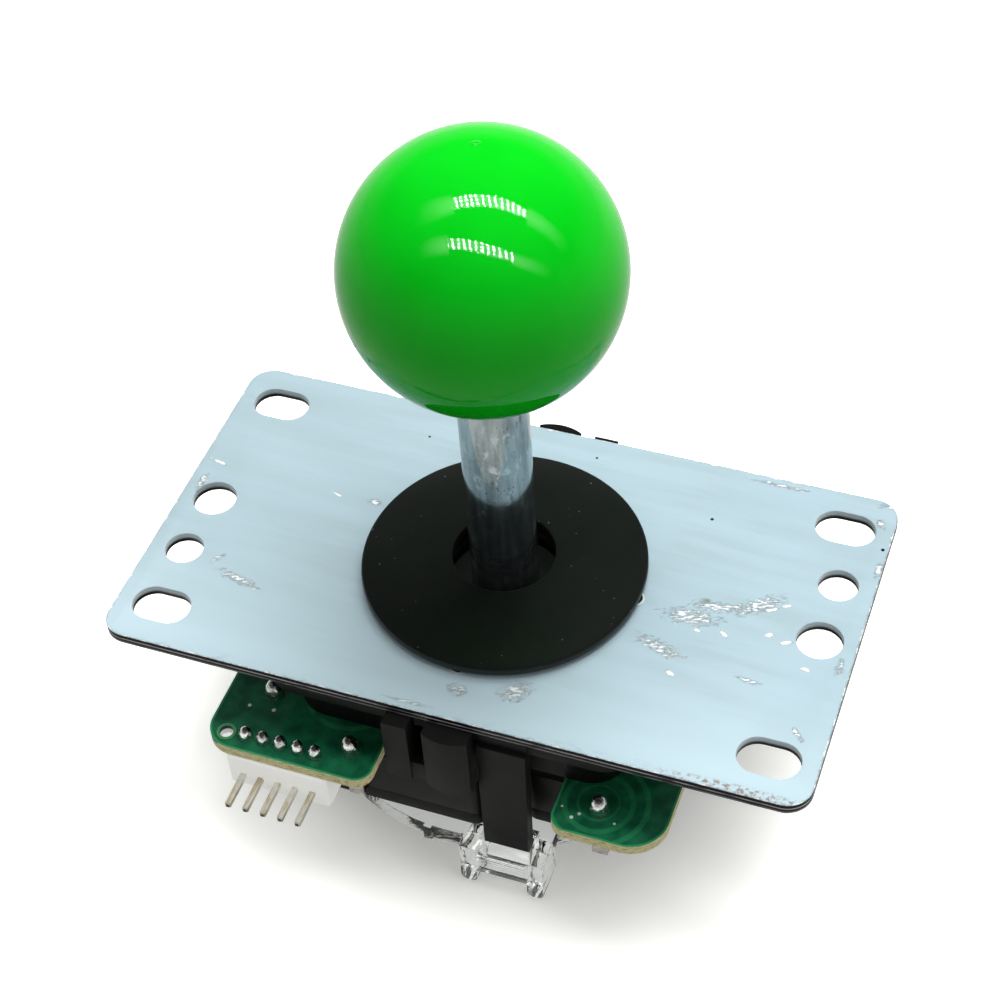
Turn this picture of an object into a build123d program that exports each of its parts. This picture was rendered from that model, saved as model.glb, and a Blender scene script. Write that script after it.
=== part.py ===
from build123d import *
import os
from math import atan, cos, radians, sin, sqrt, tan

# Arcade joystick lever, in millimetres.
# Origin: centre of the mounting plate's top face, on the lever's axis.
# X runs along the plate, Y away from the connector side, Z up towards the ball.

# Mounting plate
plate_length = 97.4
plate_width = 53.4
plate_thickness = 1.6
plate_corner_radius = 3.5
slot_margin = 6.5
slot_length = 8.3
slot_width = 5.7
large_hole_diameter = 6.2
large_hole_margin = 5.05
small_hole_diameter = 5.4
small_hole_margin = 5.0
small_hole_y = 9.9
plate_eye_diameter = 15.6

# Plate screws
screw_diameter = 4.0
screw_head_diameter = 8.0
screw_length = 9.0
screw_circle_radius = 15.0
recess_width = 0.9
recess_length = 4.2
recess_depth = 1.1

# Lever: how far it tilts each way, and about which height
tilt_limit_deg = 8.0
pivot_depth = 7.5

# Ball and its threaded insert
ball_diameter = 35.0
ball_centre_height = 52.6
ball_flat_diameter = 11.6
insert_diameter = 10.0
insert_length = 14.0
stud_diameter = 6.0
stud_length = 10.5
stud_point = 0.8
knurl_count = 18
knurl_depth = 0.35
knurl_end_band = 2.0

# Shaft
shaft_diameter = 9.2
spindle_diameter = 7.0
spindle_tail = 0.9
spindle_chamfer = 0.4
driver_slot_width = 1.2
driver_slot_depth = 1.3
ring_groove_depth = 0.8

# Dust washer, a shallow dish that rests on the plate
washer_diameter = 38.9
washer_rim_height = 1.8
washer_thickness = 1.5
washer_rise_per_mm = 0.104
washer_seat_width = 1.3
washer_edge = 0.35

# Ball joint: spherical bush in the housing's cup
bush_diameter = 18.0
bush_top_height = 4.6
bush_bottom_depth = 4.9
bush_neck_diameter = 9.4

# Spring collar, return spring and the cup that works the switches
collar_flange_diameter = 16.0
collar_flange_thickness = 1.2
collar_tube_diameter = 8.8
collar_tube_length = 6.5
collar_slide = 1.7
actuator_diameter = 14.8
actuator_bore_diameter = 12.6
actuator_floor = 2.4
actuator_overhang = 0.9
actuator_chamfer = 0.6
spring_wire = 1.1
spring_diameter = 12.2
spring_turns = 5.5
ring_thickness = 0.8
ring_diameter = 12.4
ring_mouth = 5.6

# Housing
deck_side = 52.0
deck_thickness = 2.5
deck_corner_radius = 5.0
tub_side = 46.4
tub_wall = 2.0
hub_diameter = 25.0
cup_depth = 5.2
boss_diameter = 8.8
rib_thickness = 1.8
column_face = 28.7
column_bulge = 0.8
column_switch_gap = 0.5
narrow_column = (-7.0, -3.5)
wide_column = (-1.4, 4.9)
column_slot_depth = 9.2
column_web_set_back = 0.4
leg_width = 6.8
leg_tip_width = 6.2
leg_shoulder_drop = 2.0
leg_shoulder_depth = 0.8
leg_thickness = 2.0
leg_switch_room = 2.4
leg_root_height = 2.6
barb_height = 1.4
barb_reach = 1.0
barb_edge = 0.25
tip_chamfer = 1.0

# Microswitches, four in a pinwheel round the actuator
switch_length = 27.8
switch_depth = 16.2
switch_thickness = 10.3
switch_cover_thickness = 2.3
switch_corner_radius = 1.6
switch_end = 5.0
switch_hole_diameter = 3.1
switch_hole_inset = 2.8
plunger_diameter = 2.4
plunger_reach = 1.35
plunger_gap = 1.15
plunger_travel = 0.6
plunger_inner_length = 4.5
plunger_dome = 0.7

# Switch terminals
terminal_width = 2.2
terminal_thickness = 0.6
terminal_pin_width = 1.2
common_inset = 10.0
common_stand_off = 1.2
contact_inset = 4.4
contact_stand_off = 3.6

# Circuit board under the housing, over the switches
board_top_depth = 11.5
board_thickness = 1.6
board_half_side = 31.0
board_corner_radius = 5.2
ear_corner_radius = 4.0
board_eye_diameter = 27.0
board_notch_left = -8.7
board_notch_right = 16.0
board_notch_depth = 21.6
board_notch_corner = 2.4
ear_reach_left = 1.8
ear_reach_front = 1.0
board_hole_diameter = 1.9
pin_hole_diameter = 1.4
joint_radius = 1.35
joint_height = 2.6
small_joint_radius = 1.0
small_joint_height = 2.0
joint_foot = 0.12

# Pin header along the board's front edge
header_pins_count = 5
header_pitch = 2.54
header_centre_x = -22.0
header_end_margin = 2.27
header_base_depth = 5.8
header_back_gap = 0.3
header_height = 6.2
header_chamfer = 0.4
header_pin_side = 0.8
header_pin_drop = 3.8
header_row_inset = 2.6
header_pin_reach = 5.4
pin_point = 0.25
spare_hole_pitches = 1.15

# Clear restrictor gate, snapped on the housing's legs
gate_disc_diameter = 56.0
gate_gap = 0.2
gate_disc_thickness = 2.8
gate_guide_wall = 2.0
gate_guide_depth = 1.5
gate_guide_corner = 2.0
gate_ledge = 1.2
gate_recess = 1.1
loop_cheek = 2.4
loop_depth = 6.8
foot_depth = 5.4
foot_drop = 4.9
foot_radius = 1.0
loop_bar_thickness = 1.9
loop_bar_room = 0.8
loop_bar_drop = 2.1
loop_groove_width = 0.5
loop_groove_depth = 0.3
loop_groove_pitch = 0.9
key_rib_width = 1.2
key_rib_angle_deg = -95.0
key_rib_height = 0.5

# Clearances
running_fit = 0.05
moving_gap = 0.12
gate_play = 0.15
assembly_gap = 0.2
leg_gap = 0.35
leg_play = 0.6
leg_side_gap = 0.4
barb_gap = 0.1
board_edge_gap = 0.4
merge = 0.5

# Worked out from the sizes above: the lever and its ball joint
tilt = radians(tilt_limit_deg)
corner_tilt = atan(sqrt(2) * tan(tilt))
pivot_z = -pivot_depth
ball_radius = ball_diameter / 2
shaft_radius = shaft_diameter / 2
spindle_radius = spindle_diameter / 2
spindle_bore_radius = spindle_radius + running_fit
bush_radius = bush_diameter / 2
cup_radius = bush_radius + running_fit
actuator_radius = actuator_diameter / 2
ball_flat_z = ball_centre_height - sqrt(ball_radius**2 - (ball_flat_diameter / 2) ** 2)
bush_top_z = pivot_z + bush_top_height
bush_bottom_z = pivot_z - bush_bottom_depth
hub_bottom_z = pivot_z - cup_depth
deck_bottom_z = -plate_thickness - deck_thickness

# The collar lies low enough to clear the hub at the lever's corner positions
collar_radius = collar_flange_diameter / 2
collar_drop = (cup_depth + collar_radius * sin(corner_tilt) + moving_gap) / cos(corner_tilt)
collar_top_z = pivot_z - collar_drop
flange_bottom_z = collar_top_z - collar_flange_thickness
actuator_top_z = flange_bottom_z - collar_slide

# Board, switches and gate, stacked under the housing
board_top_z = -board_top_depth
tub_bottom_z = board_top_z + assembly_gap
board_bottom_z = board_top_z - board_thickness
switch_top_z = board_bottom_z
switch_bottom_z = switch_top_z - switch_thickness
switch_seam_z = switch_bottom_z + switch_cover_thickness
plunger_z = (switch_top_z + switch_bottom_z) / 2
column_bottom_z = switch_top_z + column_switch_gap
gate_top_z = switch_bottom_z - gate_gap
gate_bottom_z = gate_top_z - gate_disc_thickness
guide_bottom_z = gate_bottom_z - gate_guide_depth
ledge_z = gate_top_z - gate_ledge
barb_top_z = ledge_z - barb_gap
leg_tip_z = barb_top_z - barb_height
foot_z = gate_bottom_z - foot_drop

# The lever's lower end passes through the gate
actuator_bottom_z = guide_bottom_z - actuator_overhang
actuator_floor_z = actuator_bottom_z + actuator_floor
ring_top_z = actuator_bottom_z - moving_gap
ring_bottom_z = ring_top_z - ring_thickness
groove_radius = spindle_radius - ring_groove_depth
spindle_end_z = ring_bottom_z - spindle_tail

# The front switch, seen from above; the others are turned by quarter turns
plunger_tip_y = -actuator_radius - plunger_gap
switch_front_y = plunger_tip_y - plunger_reach
switch_back_y = switch_front_y - switch_depth
switch_left_x = switch_end - switch_length

# The front leg passes the end of one switch and the side of the next
leg_inner_y = switch_left_x - leg_switch_room
leg_front_y = leg_inner_y - leg_thickness
leg_left_x = switch_end + leg_side_gap
leg_right_x = leg_left_x + leg_width
loop_left_x = leg_left_x - leg_gap
loop_right_x = leg_left_x + leg_tip_width + leg_play
loop_front_y = leg_front_y - loop_bar_room - loop_bar_thickness

# The header stands behind nothing but the front switch, along the board's front edge
header_back_y = switch_back_y - header_back_gap
header_front_y = header_back_y - header_base_depth
header_row_y = header_front_y + header_row_inset
header_pin_z = board_bottom_z - header_pin_drop
first_pin_x = header_centre_x - (header_pins_count - 1) / 2 * header_pitch
header_pin_xs = [first_pin_x + k * header_pitch for k in range(header_pins_count)]


def block(x0, x1, y0, y1, z0, z1):
    """A box between two corners."""
    size = Box(abs(x1 - x0), abs(y1 - y0), abs(z1 - z0))
    return Pos((x0 + x1) / 2, (y0 + y1) / 2, (z0 + z1) / 2) * size


def drum(radius, z0, z1, x=0, y=0):
    """An upright cylinder between two heights."""
    return Pos(x, y, (z0 + z1) / 2) * Cylinder(radius, abs(z1 - z0))


def rod(radius, x, z, y0, y1):
    """A cylinder lying along Y."""
    return Pos(x, (y0 + y1) / 2, z) * Rot(90, 0, 0) * Cylinder(radius, abs(y1 - y0))


def pad(side_x, side_y, radius, z0, z1):
    """A rounded rectangle, centred on the axis, between two heights."""
    outline = RectangleRounded(side_x, side_y, radius)
    return Pos(0, 0, min(z0, z1)) * extrude(outline, abs(z1 - z0))


def turned(shape, quarter):
    """The shape turned by quarter turns about the lever's axis."""
    return Rot(0, 0, 90 * quarter) * shape


def all_round(shape):
    """Four copies of a shape, one to each side."""
    return [turned(shape, k) for k in range(4)]


def spun(points):
    """The solid swept by an outline of (radius, height) points about the lever's axis."""
    outline = make_face(Polyline([(r, 0, z) for r, z in points], close=True))
    return revolve(outline, Axis.Z)


def save(name, shape):
    """One file for one named piece."""
    solids = shape.solids()
    piece = solids[0] if len(solids) == 1 else Compound(children=list(solids))
    export_step(piece, f"parts/{name}.step")


def screw_places():
    """The plate screws lie on the axes, on one circle."""
    return [
        (screw_circle_radius, 0),
        (0, screw_circle_radius),
        (-screw_circle_radius, 0),
        (0, -screw_circle_radius),
    ]


def screw_outline(slack):
    """Countersunk screw, head flush with the plate, with room added all round."""
    head = screw_head_diameter / 2 + slack
    core = screw_diameter / 2 + slack
    neck_z = -(head - core)
    end_z = -screw_length - slack
    return spun([(0, 0), (head, 0), (core, neck_z), (core, end_z), (0, end_z)])


def plate_screw():
    """One countersunk screw with a cross recess."""
    body = screw_outline(0)
    for turn in (45, 135):
        arm = Box(recess_length, recess_width, 2 * recess_depth)
        body -= Rot(0, 0, turn) * arm
    return body


def plate_screws():
    return Compound(children=[Pos(x, y, 0) * plate_screw() for x, y in screw_places()])


def mounting_plate():
    """Flat steel plate with corner slots, end holes and countersinks."""
    plate = pad(plate_length, plate_width, plate_corner_radius, -plate_thickness, 0)
    cut = 2 * plate_thickness
    slot = Pos(0, 0, -cut) * extrude(SlotOverall(slot_length, slot_width), 2 * cut)
    for sx in (-1, 1):
        for sy in (-1, 1):
            corner = Pos(sx * (plate_length / 2 - slot_margin), sy * (plate_width / 2 - slot_margin), 0)
            plate -= corner * slot
        large_x = sx * (plate_length / 2 - large_hole_margin)
        small_x = sx * (plate_length / 2 - small_hole_margin)
        plate -= drum(large_hole_diameter / 2, -cut, cut, large_x)
        plate -= drum(small_hole_diameter / 2, -cut, cut, small_x, sx * small_hole_y)
    plate -= drum(plate_eye_diameter / 2, -cut, cut)
    for x, y in screw_places():
        plate -= Pos(x, y, 0) * screw_outline(running_fit)
    return plate


def ball_top():
    """Moulded ball with a flat and a pocket for its insert."""
    ball = Pos(0, 0, ball_centre_height) * Sphere(ball_radius)
    ball -= drum(ball_radius, ball_flat_z - ball_radius, ball_flat_z)
    return ball - drum(insert_diameter / 2, ball_flat_z - 1, ball_flat_z + insert_length)


def ball_insert():
    """Threaded brass insert, grooved on the outside where the ball grips it."""
    top_z = ball_flat_z + insert_length
    insert = drum(insert_diameter / 2, ball_flat_z, top_z)
    band_z = (ball_flat_z + knurl_end_band, top_z - knurl_end_band)
    groove = drum(knurl_depth, *band_z, x=insert_diameter / 2)
    for k in range(knurl_count):
        insert -= Rot(0, 0, 360 / knurl_count * k) * groove
    hole_top = ball_flat_z + stud_length + moving_gap
    return insert - drum(stud_diameter / 2 + running_fit, ball_flat_z - 1, hole_top)


def lever_shaft():
    """Turned steel shaft: stud, body, shouldered spindle with a ring groove and driver slot."""
    stud_top = ball_flat_z + stud_length
    stud = stud_diameter / 2
    outline = [
        (0, stud_top),
        (stud - stud_point, stud_top),
        (stud, stud_top - stud_point),
        (stud, ball_flat_z),
        (shaft_radius, ball_flat_z),
        (shaft_radius, bush_top_z),
        (spindle_radius, bush_top_z),
        (spindle_radius, ring_top_z + running_fit),
        (groove_radius, ring_top_z + running_fit),
        (groove_radius, ring_bottom_z - running_fit),
        (spindle_radius, ring_bottom_z - running_fit),
        (spindle_radius, spindle_end_z + spindle_chamfer),
        (spindle_radius - spindle_chamfer, spindle_end_z),
        (0, spindle_end_z),
    ]
    slot = Box(2 * spindle_diameter, driver_slot_width, 2 * driver_slot_depth)
    return spun(outline) - Pos(0, 0, spindle_end_z) * slot


def washer_top_z(radius):
    """Height of the dished washer's upper face at a radius."""
    return washer_rim_height + washer_rise_per_mm * (washer_diameter / 2 - radius)


def washer_hole_radius():
    """Wide enough for the shaft at the lever's corner positions."""
    height = washer_top_z(shaft_radius) - pivot_z
    return shaft_radius / cos(corner_tilt) + height * tan(corner_tilt) + moving_gap


def dust_washer():
    """Shallow dish: flat seat at the rim, rising to the hole."""
    rim = washer_diameter / 2
    hole = washer_hole_radius()
    seat = rim - washer_seat_width
    bottom_at_hole = washer_top_z(hole) - washer_thickness
    return spun(
        [
            (rim, 0),
            (rim, washer_rim_height - washer_edge),
            (rim - washer_edge, washer_rim_height),
            (hole, washer_top_z(hole)),
            (hole, bottom_at_hole),
            (seat, 0),
        ]
    )


def pivot_bush():
    """Spherical bush under the shaft's shoulder, with a neck that reaches the collar."""
    ball = Pos(0, 0, pivot_z) * Sphere(bush_radius)
    bush = ball & drum(bush_diameter, bush_bottom_z, bush_top_z)
    bush += drum(bush_neck_diameter / 2, collar_top_z, bush_bottom_z)
    return bush - drum(spindle_bore_radius, collar_top_z - 1, bush_top_z + 1)


def spring_collar():
    """Flanged tube that the spring presses up against."""
    tube_end = flange_bottom_z - collar_tube_length
    collar = drum(collar_radius, flange_bottom_z, collar_top_z)
    collar += drum(collar_tube_diameter / 2, tube_end, flange_bottom_z)
    return collar - drum(spindle_bore_radius, tube_end - 1, collar_top_z + 1)


def actuator():
    """Cup that holds the spring and works the switches."""
    cup = drum(actuator_radius, actuator_bottom_z, actuator_top_z)
    cup -= drum(actuator_bore_diameter / 2, actuator_floor_z, actuator_top_z + 1)
    cup -= drum(spindle_bore_radius, actuator_bottom_z - 1, actuator_floor_z + 1)
    foot_edges = cup.edges().group_by(Axis.Z)[0].filter_by(GeomType.CIRCLE)
    return chamfer(foot_edges.sort_by(SortBy.RADIUS)[-1], actuator_chamfer)


def return_spring():
    """Compression spring between the collar's flange and the cup's floor."""
    end_gap = spring_wire / 2 + running_fit
    bottom = actuator_floor_z + end_gap
    height = flange_bottom_z - end_gap - bottom
    coil = Helix(height / spring_turns, height, (spring_diameter - spring_wire) / 2)
    section = Plane(origin=coil @ 0, z_dir=coil % 0) * Circle(spring_wire / 2)
    return Pos(0, 0, bottom) * sweep(section, path=coil, is_frenet=True)


def retaining_ring():
    """Open spring ring in the spindle's groove."""
    below, above = ring_bottom_z - 1, ring_top_z + 1
    ring = drum(ring_diameter / 2, ring_bottom_z, ring_top_z)
    ring -= drum(groove_radius + running_fit, below, above)
    return ring - block(-ring_mouth / 2, ring_mouth / 2, 0, ring_diameter, below, above)


def housing_columns():
    """Two upright ribs on one side of the housing, one flat and one crowned."""
    back = -(tub_side - tub_wall) / 2
    heights = (column_bottom_z, -plate_thickness)
    x0, x1 = narrow_column
    x2, x3 = wide_column
    half = (x3 - x2) / 2
    crown_radius = (half**2 + column_bulge**2) / (2 * column_bulge)
    crown_y = -column_face - column_bulge + crown_radius
    columns = block(x0, x1, back, -column_face, *heights) + block(x2, x3, back, -column_face, *heights)
    crown = drum(crown_radius, *heights, (x2 + x3) / 2, crown_y)
    columns += crown & block(x2, x3, -column_face - column_bulge, -column_face + merge, *heights)
    web_y = -column_face + column_web_set_back
    columns += block(x1 - merge, x2 + merge, back, web_y, column_bottom_z, -column_slot_depth)
    board_edge_y = -board_notch_depth - board_edge_gap
    return columns - block(x0 - 1, x3 + 1, back + 1, board_edge_y, column_bottom_z - 1, tub_bottom_z)


def housing_leg():
    """Long snap leg with an inward barb at its tip."""
    tip_right_x = leg_left_x + leg_tip_width
    top_z = -plate_thickness - leg_shoulder_drop
    face = Polyline(
        [
            (leg_left_x, leg_front_y, leg_tip_z),
            (tip_right_x, leg_front_y, leg_tip_z),
            (leg_right_x, leg_front_y, top_z),
            (leg_left_x, leg_front_y, top_z),
        ],
        close=True,
    )
    leg = extrude(make_face(face), leg_thickness, dir=(0, 1, 0))
    outer_tip = leg.edges().group_by(Axis.Z)[0].sort_by(Axis.Y)[0]
    leg = chamfer(outer_tip, tip_chamfer)
    root_y = -(tub_side - tub_wall) / 2
    root_z = (deck_bottom_z - leg_root_height, -plate_thickness)
    root = block(leg_left_x, leg_right_x, root_y, leg_front_y + leg_shoulder_depth, *root_z)
    barb_y = leg_inner_y + barb_reach
    profile = Polyline(
        [
            (leg_left_x, leg_inner_y, barb_top_z),
            (leg_left_x, barb_y, barb_top_z),
            (leg_left_x, barb_y, barb_top_z - barb_edge),
            (leg_left_x, leg_inner_y, leg_tip_z),
        ],
        close=True,
    )
    barb = extrude(make_face(profile), leg_tip_width, dir=(1, 0, 0))
    return leg + root + barb


def housing_shell():
    """Deck and tub, stiffened by diagonal ribs that meet the hub."""
    deck = pad(deck_side, deck_side, deck_corner_radius, deck_bottom_z, -plate_thickness)
    tub = pad(tub_side, tub_side, deck_corner_radius, tub_bottom_z, deck_bottom_z)
    inside = tub_side - 2 * tub_wall
    inner_corner = deck_corner_radius - tub_wall
    tub -= pad(inside, inside, inner_corner, tub_bottom_z - 1, deck_bottom_z)
    rib = block(-tub_side, tub_side, -rib_thickness / 2, rib_thickness / 2, tub_bottom_z, deck_bottom_z)
    middle = tub_side - tub_wall
    within = pad(middle, middle, inner_corner + tub_wall / 2, tub_bottom_z, deck_bottom_z)
    return deck + tub + (Rot(0, 0, 45) * rib & within) + (Rot(0, 0, -45) * rib & within)


def housing():
    """Moulded housing: shell, hub with a spherical cup, screw bosses, columns and legs."""
    body = housing_shell() + drum(hub_diameter / 2, hub_bottom_z, deck_bottom_z)
    for x, y in screw_places():
        body += drum(boss_diameter / 2, tub_bottom_z, deck_bottom_z, x, y)
    for side in all_round(housing_columns()) + all_round(housing_leg()):
        body += side
    body -= drum(cup_radius, pivot_z, 0)
    body -= Pos(0, 0, pivot_z) * Sphere(cup_radius)
    for x, y in screw_places():
        body -= Pos(x, y, 0) * screw_outline(running_fit)
    return body


def switch_block(z0, z1):
    """The front switch's outline in plan, between two heights, with its two holes."""
    outline = RectangleRounded(switch_length, switch_depth, switch_corner_radius)
    x = (switch_left_x + switch_end) / 2
    y = (switch_front_y + switch_back_y) / 2
    slab = Pos(x, y, z0) * extrude(outline, z1 - z0)
    hole = switch_hole_diameter / 2
    inset = switch_hole_inset
    slab -= drum(hole, z0 - 1, z1 + 1, switch_left_x + inset, switch_front_y - inset)
    return slab - drum(hole, z0 - 1, z1 + 1, switch_end - inset, switch_back_y + inset)


def switch_case():
    """Front switch's case, with the plunger's bore."""
    bore_end = switch_front_y - plunger_inner_length - 2 * plunger_travel
    bore = rod(plunger_diameter / 2 + running_fit, 0, plunger_z, bore_end, switch_front_y + 1)
    return switch_block(switch_seam_z, switch_top_z) - bore


def switch_cover():
    """Front switch's cover plate."""
    return switch_block(switch_bottom_z, switch_seam_z)


def switch_plunger():
    """Front switch's pin plunger, with a domed tip."""
    inner = switch_front_y - plunger_inner_length
    pin = rod(plunger_diameter / 2, 0, plunger_z, inner, plunger_tip_y)
    return fillet(pin.edges().group_by(Axis.Y)[-1], plunger_dome)


def terminal_places():
    """Where a switch's two terminals come up through the board: common, then contact."""
    common = (switch_left_x + common_inset, switch_back_y - common_stand_off)
    contact = (switch_left_x - contact_stand_off, switch_back_y + contact_inset)
    return [common, contact]


def switch_terminals():
    """Two bent blades: one from the switch's back, one from its end."""
    (cx, cy), (nx, ny) = terminal_places()
    wide = terminal_width / 2
    thin = terminal_thickness / 2
    pin = terminal_pin_width / 2
    low = (switch_seam_z - thin, switch_seam_z + thin)
    shoulder = board_bottom_z - board_edge_gap
    common = block(cx - wide, cx + wide, switch_back_y, cy - thin, *low)
    common += block(cx - wide, cx + wide, cy - thin, cy + thin, low[0], shoulder)
    common += block(cx - pin, cx + pin, cy - thin, cy + thin, shoulder, board_top_z)
    contact = block(switch_left_x, nx - thin, ny - wide, ny + wide, *low)
    contact += block(nx - thin, nx + thin, ny - wide, ny + wide, low[0], shoulder)
    contact += block(nx - thin, nx + thin, ny - pin, ny + pin, shoulder, board_top_z)
    return Compound(children=[common, contact])


def header_pin(x):
    """One right-angle pin: down through the board, then out past the base."""
    half = header_pin_side / 2
    sides = (x - half, x + half)
    level_z = (header_pin_z - half, header_pin_z + half)
    end_y = header_front_y - header_pin_reach
    upright = block(*sides, header_row_y - half, header_row_y + half, level_z[0], board_top_z)
    level = block(*sides, end_y, header_row_y + half, *level_z)
    level = chamfer(level.faces().sort_by(Axis.Y)[0].edges(), pin_point)
    return upright + level


def header_pins():
    return Compound(children=[header_pin(x) for x in header_pin_xs])


def header_base():
    """Moulded base of the header, hung from the board."""
    x0 = header_pin_xs[0] - header_end_margin
    x1 = header_pin_xs[-1] + header_end_margin
    bottom = board_bottom_z - header_height
    base = block(x0, x1, header_back_y, header_front_y, bottom, board_bottom_z)
    base = chamfer(base.faces().sort_by(Axis.Y)[0].edges(), header_chamfer)
    for x in header_pin_xs:
        base -= header_pin(x)
    return base


def board_outline():
    """Rounded square with an ear under the header, which runs on into the notches beside it."""
    side = 2 * board_half_side
    square = RectangleRounded(side, side, board_corner_radius)
    x0, x1 = -board_half_side - ear_reach_left, board_notch_left + 2 * ear_corner_radius
    y0, y1 = -board_half_side - ear_reach_front, -board_notch_right + 2 * ear_corner_radius
    ear = RectangleRounded(x1 - x0, y1 - y0, ear_corner_radius)
    return square + Pos((x0 + x1) / 2, (y0 + y1) / 2) * ear


def at_notch_mouth(point):
    """Whether an upright edge of the board is at the mouth of one of the four notches."""
    for quarter in range(4):
        turned = Vector(point.X, point.Y, 0).rotate(Axis.Z, 90 * quarter)
        side = min(abs(turned.X - board_notch_left), abs(turned.X - board_notch_right))
        if side < 0.01 and turned.Y < -board_half_side + 0.01:
            return True
    return False


def circuit_board():
    """Board with a notch on each side for the housing's columns and leg."""
    below, above = board_bottom_z - 1, board_top_z + 1
    board = Pos(0, 0, board_bottom_z) * extrude(board_outline(), board_thickness)
    notch = block(board_notch_left, board_notch_right, -2 * board_half_side, -board_notch_depth, below, above)
    for cut in all_round(notch):
        board -= cut
    mouth = [edge for edge in board.edges().filter_by(Axis.Z) if at_notch_mouth(edge.center())]
    board = fillet(mouth, board_notch_corner)
    board -= drum(board_eye_diameter / 2, below, above)
    for x, y in board_joints():
        board -= drum(board_hole_diameter / 2, below, above, x, y)
    for x in header_pin_xs:
        board -= drum(pin_hole_diameter / 2, below, above, x, header_row_y)
    spare_x = header_pin_xs[0] - spare_hole_pitches * header_pitch
    return board - drum(board_hole_diameter / 2, below, above, spare_x, header_row_y)


def board_joints():
    """Where the switches' terminals are soldered."""
    places = []
    for quarter in range(4):
        turn = radians(90 * quarter)
        for x, y in terminal_places():
            places.append((x * cos(turn) - y * sin(turn), x * sin(turn) + y * cos(turn)))
    return places


def solder_cone(radius, height):
    """A cone of solder with a hollow flank and a blunt tip."""
    tip = radius / 5
    waist = (radius / 2, 0, height / 2)
    flank = ThreePointArc((radius, 0, joint_foot), waist, (tip, 0, height))
    edges = Polyline([(tip, 0, height), (0, 0, height), (0, 0, 0), (radius, 0, 0), (radius, 0, joint_foot)])
    return revolve(make_face([flank, edges]), Axis.Z)


def solder_joints():
    """Solder on each terminal and header pin."""
    large = solder_cone(joint_radius, joint_height)
    small = solder_cone(small_joint_radius, small_joint_height)
    cones = [Pos(x, y, board_top_z) * large for x, y in board_joints()]
    cones += [Pos(x, header_row_y, board_top_z) * small for x in header_pin_xs]
    return Compound(children=cones)


def gate_cheek(x0, x1):
    """One side of a loop, ending below in a foot."""
    foot = block(x0, x1, loop_front_y, loop_front_y + foot_depth, foot_z, gate_top_z)
    foot = fillet(foot.edges().filter_by(Axis.Y).group_by(Axis.Z)[0], foot_radius)
    return foot + block(x0, x1, loop_front_y, loop_front_y + loop_depth, gate_bottom_z, gate_top_z)


def gate_loop():
    """Loop round one leg: two cheeks and a grooved bar across the front."""
    bar_z = (gate_bottom_z - loop_bar_drop, gate_top_z)
    bar_back_y = loop_front_y + loop_bar_thickness
    loop = gate_cheek(loop_left_x - loop_cheek, loop_left_x)
    loop += gate_cheek(loop_right_x, loop_right_x + loop_cheek)
    loop += block(loop_left_x - merge, loop_right_x + merge, loop_front_y, bar_back_y, *bar_z)
    for k in (1, 2):
        groove_z = gate_top_z - loop_groove_pitch * k
        groove_y = (loop_front_y - 1, loop_front_y + loop_groove_depth)
        loop -= block(loop_left_x, loop_right_x, *groove_y, groove_z - loop_groove_width, groove_z)
    return loop


def gate_notch():
    """Room for one leg in the disc, with a ledge that the barb catches."""
    sides = (loop_left_x, loop_right_x, -gate_disc_diameter)
    ledge_y = leg_inner_y + assembly_gap
    upper = block(*sides, ledge_y, ledge_z, gate_top_z + 1)
    lower = block(*sides, ledge_y + gate_recess, gate_bottom_z - 1, ledge_z)
    return upper + lower


def gate_opening():
    """The side of the square that stops the actuator at the tilt limit."""
    throw = (pivot_z - guide_bottom_z) * tan(tilt)
    return 2 * (actuator_radius / cos(corner_tilt) + throw + gate_play)


def restrictor_gate():
    """Clear gate: disc with a square guide, notches and loops for the legs."""
    rim = gate_disc_diameter / 2
    gate = drum(rim, gate_bottom_z, gate_top_z)
    opening = gate_opening()
    wall_side = opening + 2 * gate_guide_wall
    gate += pad(wall_side, wall_side, gate_guide_corner + gate_guide_wall, guide_bottom_z, gate_bottom_z)
    for notch in all_round(gate_notch()):
        gate -= notch
    half = key_rib_width / 2
    rib = block(rim - 1, rim + key_rib_height, -half, half, gate_bottom_z, gate_top_z)
    for piece in all_round(gate_loop()) + all_round(Rot(0, 0, key_rib_angle_deg) * rib):
        gate += piece
    return gate - pad(opening, opening, gate_guide_corner, guide_bottom_z - 1, gate_top_z + 1)


def main():
    os.makedirs("parts", exist_ok=True)
    save("mounting_plate", mounting_plate())
    save("plate_screws", plate_screws())
    save("ball_top", ball_top())
    save("ball_insert", ball_insert())
    save("lever_shaft", lever_shaft())
    save("dust_washer", dust_washer())
    save("pivot_bush", pivot_bush())
    save("spring_collar", spring_collar())
    save("return_spring", return_spring())
    save("actuator", actuator())
    save("retaining_ring", retaining_ring())
    save("housing", housing())
    save("circuit_board", circuit_board())
    save("solder_joints", solder_joints())
    save("header_base", header_base())
    save("header_pins", header_pins())
    save("restrictor_gate", restrictor_gate())
    for quarter, side in enumerate(("front", "right", "back", "left")):
        save(f"switch_case_{side}", turned(switch_case(), quarter))
        save(f"switch_cover_{side}", turned(switch_cover(), quarter))
        save(f"switch_plunger_{side}", turned(switch_plunger(), quarter))
        save(f"switch_terminals_{side}", turned(switch_terminals(), quarter))


main()
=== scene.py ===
# %% [markdown]
# # Arcade joystick lever
# A ball-topped lever stands on a flat steel plate. Under the plate hang a black moulded housing, a green
# circuit board, four switches and a clear gate. The exact solids come from the frame. This lesson gives
# them rounded edges, smooth turned surfaces and materials, one small step at a time.

# %% Load the frame
import math
import random

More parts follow.
